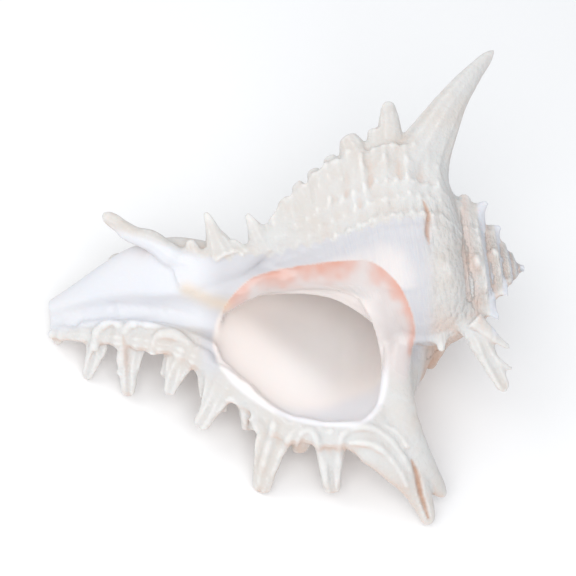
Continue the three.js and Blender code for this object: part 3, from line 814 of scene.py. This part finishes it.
class Finish:
    """A material that is built up node by node."""

    def __init__(self, name):
        self.material = bpy.data.materials.new(name)
        self.material.use_nodes = True
        self.tree = self.material.node_tree
        self.surface = self.tree.nodes["Principled BSDF"]

    def feed(self, socket, value):
        if isinstance(value, Value):
            self.tree.links.new(value.socket, socket)
        elif isinstance(value, (tuple, list)) and socket.type == "RGBA":
            socket.default_value = (*value[:3], 1)
        else:
            socket.default_value = value

    def add(self, kind, settings=None, inputs=None, output=0):
        node = self.tree.nodes.new(kind)
        for name, value in (settings or {}).items():
            if name == "stops":
                ramp = node.color_ramp
                while len(ramp.elements) < len(value):
                    ramp.elements.new(0.5)
                for stop, (at, level) in zip(ramp.elements, value):
                    stop.position = at
                    stop.color = (level, level, level, 1)
            else:
                setattr(node, name, value)
        for name, value in (inputs or {}).items():
            self.feed(node.inputs[name], value)
        return Value(self, node.outputs[output])

    def layer(self, name):
        return self.add("ShaderNodeAttribute", {"attribute_name": name}, output="Fac")

    def tint(self, below, above, amount):
        return self.add("ShaderNodeMix", {"data_type": "RGBA"}, {0: amount, 6: below, 7: above}, 2)

    def noise(self, place, scale, detail=3.0, roughness=0.55):
        inputs = {"Vector": place, "Scale": scale, "Detail": detail, "Roughness": roughness}
        return self.add("ShaderNodeTexNoise", None, inputs, "Fac")

    def ramp(self, value, stops):
        return self.add("ShaderNodeValToRGB", {"stops": stops}, {0: value})


finish = Finish("shell")
shell.data.materials.append(finish.material)
place_now = finish.add("ShaderNodeTexCoord", output="Object")
cloud = finish.noise(place_now, 45, 4)
grain = finish.noise(place_now, 420, 5, 0.6)
growth = finish.layer("growth")
cord = finish.layer("cord")
streak_place = finish.add("ShaderNodeCombineXYZ", None, {0: cord * 90, 1: growth * 6})
streaks = finish.noise(streak_place, 1.0, 4)

rough_layer, body_layer, glaze_layer = finish.layer("rough"), finish.layer("body"), finish.layer("glaze")
spiral_layer, inside_layer = finish.layer("spiral"), finish.layer("inside")

# the chalky outside, which then takes painted shade and painted highlights
chalk_and_painted_light = finish.tint(CHALK, WARM_CHALK, finish.ramp(cloud, [(0.42, 0), (0.70, 1)]))
# painted shade in the hollows
chalk_and_painted_light = finish.tint(chalk_and_painted_light, PAINTED_HOLLOW_SHADE, finish.layer("pit") * 0.7)
# painted warm shade on the sides that face down
chalk_and_painted_light = finish.tint(chalk_and_painted_light, PAINTED_UNDERSIDE_SHADE, finish.layer("underside") * 0.55)
# painted highlight on the raised edges
chalk_and_painted_light = finish.tint(chalk_and_painted_light, PAINTED_EDGE_HIGHLIGHT, finish.layer("edge") * 0.6)
# painted bluish shade on the spire's ledges
chalk_and_painted_light = finish.tint(chalk_and_painted_light, PAINTED_SPIRE_LEDGE_SHADE, finish.layer("ramp") * 0.7)
# painted peach-brown shade at the spire's foot
chalk_and_painted_light = finish.tint(chalk_and_painted_light, PAINTED_SPIRE_FOOT_SHADE, finish.layer("base") * 0.5)
body_colour = finish.tint(BODY_GREY, BODY_PALE, (streaks - 0.5) * spiral_layer * 1.6 + 0.5)
canal_colour = finish.tint(CANAL_BLUE, CANAL_PALE, cloud)
# the mouth's cream, lightened at its heart with painted light
cream_and_painted_light = finish.tint(MOUTH_CREAM, PAINTED_HEART_LIGHT, finish.layer("heart"))
inner = finish.tint(cream_and_painted_light, LIP_WHITE, finish.layer("lip"))
glaze_colour = finish.tint(GLAZE, CORAL, finish.layer("pink"))
colour = finish.tint(chalk_and_painted_light, body_colour, body_layer)
colour = finish.tint(colour, canal_colour, finish.layer("canal") * 0.85)
colour = finish.tint(colour, inner, inside_layer)
colour = finish.tint(colour, glaze_colour, glaze_layer)
colour = finish.tint(colour, AMBER, finish.layer("amber") * 0.5)
colour = finish.tint(colour, RUST, finish.layer("stain") * 0.8)
finish.feed(finish.surface.inputs["Base Color"], colour)
finish.feed(finish.surface.inputs["Roughness"], 0.32 + rough_layer * 0.43 + body_layer * 0.16 - glaze_layer * 0.17)

scaly = finish.noise(place_now, 210, 2, 0.5)
cord_place = finish.add("ShaderNodeCombineXYZ", None, {0: cord * 42, 1: growth * 22})
beaded = finish.noise(cord_place, 1.0, 3)
scale_place = finish.add("ShaderNodeCombineXYZ", None, {0: cord * 34 + cloud * 1.5, 1: growth * 15 + cloud})
scale_inputs = {"Vector": scale_place, "Scale": 1.0, "Smoothness": 0.35}
scales = finish.add("ShaderNodeTexVoronoi", {"feature": "SMOOTH_F1"}, scale_inputs)
relief = (grain - 0.5) * 0.35 + (scaly - 0.5) * 0.8
relief = relief + (beaded - 0.5) * spiral_layer * 0.7 + (0.5 - scales) * spiral_layer * 0.9
relief = relief * rough_layer + (streaks - 0.5) * spiral_layer * 0.25
relief = relief * (1 - inside_layer)
bump = finish.add("ShaderNodeBump", None, {"Strength": 0.6, "Distance": 0.0013, "Height": relief})
finish.feed(finish.surface.inputs["Normal"], bump)
for socket, setting in (
    ("Subsurface Weight", 0.12), ("Subsurface Radius", (1, 0.55, 0.4)), ("Subsurface Scale", 0.003), ("IOR", 1.5),
):
    finish.surface.inputs[socket].default_value = setting

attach(shell, "root")
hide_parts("shell")

# ---- The floor ----
# A wide sheet of plain pale card, six metres across, that the shell is laid on. It belongs to the studio and not to
# the shell, so it is only staged.

FLOOR_ACROSS = 6
bpy.ops.mesh.primitive_plane_add(size=FLOOR_ACROSS)
floor = bpy.context.object
floor.name = "floor"
paint = bpy.data.materials.new("floor")
paint.use_nodes = True
paint.node_tree.nodes["Principled BSDF"].inputs["Base Color"].default_value = (0.98, 0.98, 0.98, 1)
floor.data.materials.append(paint)

# ---- The camera ----
# A long lens that looks squarely into the mouth, so that the shell's axis lies across the picture, with the
# apex to the right and a little high.

VIEW_WIDTH = 0.2419  # metres across the picture, at the shell
LOOK_AT = np.array([-0.7, -3.4, 6.0])
look = Vector(TURN @ np.array([0, 0, 1.0]))
up_in_frame = Vector(TURN @ np.array([0.0494, 0.9988, 0.0]))
aim = Vector((TURN @ LOOK_AT + ORIGIN) / 1000)
camera_data = bpy.data.cameras.new("camera")
camera_data.lens = 180
camera = bpy.data.objects.new("camera", camera_data)
bpy.context.scene.collection.objects.link(camera)
right = up_in_frame.cross(look).normalized()
above = look.cross(right)
distance = VIEW_WIDTH * camera_data.lens / camera_data.sensor_width
turned = Matrix((right, above, look)).transposed().to_4x4()
turned.translation = aim + look * distance
camera.matrix_world = turned
bpy.context.scene.camera = camera

# ---- The light ----
# Soft studio light: a pale, slightly blue room, a small warm panel above and to the left, and a broad plain panel
# close to the camera's line.

world = bpy.data.worlds.new("studio")
bpy.context.scene.world = world
bpy.context.scene.view_settings.view_transform = "Standard"
world.use_nodes = True
world.node_tree.nodes["Background"].inputs["Color"].default_value = (0.94, 0.965, 1, 1)
world.node_tree.nodes["Background"].inputs["Strength"].default_value = 0.74
for name, power, size, tone, spot in (
    ("key", 1.0, 0.5, (1, 0.975, 0.94), look * 0.45 - right * 0.4 + above * 0.45),
    ("fill", 2.75, 0.6, (1, 1, 1), look * 0.7 - right * 0.02 - above * 0.05),
):
    panel = bpy.data.lights.new(name, "AREA")
    panel.energy, panel.size, panel.color = power, size, tone
    lamp = bpy.data.objects.new(name, panel)
    bpy.context.scene.collection.objects.link(lamp)
    lamp.location = aim + spot
    lamp.rotation_euler = spot.to_track_quat("Z", "Y").to_euler()
